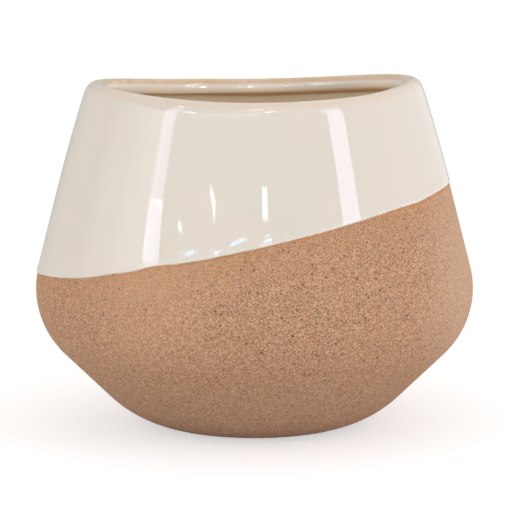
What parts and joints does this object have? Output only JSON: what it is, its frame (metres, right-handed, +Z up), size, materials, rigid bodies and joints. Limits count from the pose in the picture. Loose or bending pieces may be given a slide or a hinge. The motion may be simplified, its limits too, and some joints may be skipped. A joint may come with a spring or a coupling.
{
  "type": "ceramic flower pot",
  "caption": "Round stoneware flower pot: a bellied bowl that leans in to a thick warped rim, with a slanted glossy coat over bare clay, a lined inside and a plugged drain hole.",
  "frame": {"origin": "middle of the pot's underside, on the surface that the pads stand on", "axes": "+Z up through the mouth, -Y towards the viewer of the picture, +X to the viewer's right, where the dip line is high"},
  "size_m": [0.28, 0.28, 0.2224],
  "materials": {
    "bare_clay": "bare grogged stoneware, matt and sandy",
    "cream_glaze": "glossy cream glaze",
    "inner_glaze": "glossy cream glaze, thin over the lip",
    "plug_rubber": "matt moulded rubber",
    "pad_rubber": "soft clear rubber, slightly milky"
  },
  "bodies": {
    "pot": {"stoneware_body": "bare_clay", "dip_glaze": "cream_glaze", "liner_glaze": "inner_glaze", "foot_pad_1": "pad_rubber", "foot_pad_2": "pad_rubber", "foot_pad_3": "pad_rubber", "foot_pad_4": "pad_rubber"},
    "plug": {"drain_plug": "plug_rubber"}
  },
  "joints": [
    {"name": "plug_lift", "type": "slide", "parent": "pot", "child": "plug", "axis": [0, 0, 1], "range_m": [0, 0.23]}
  ]
}
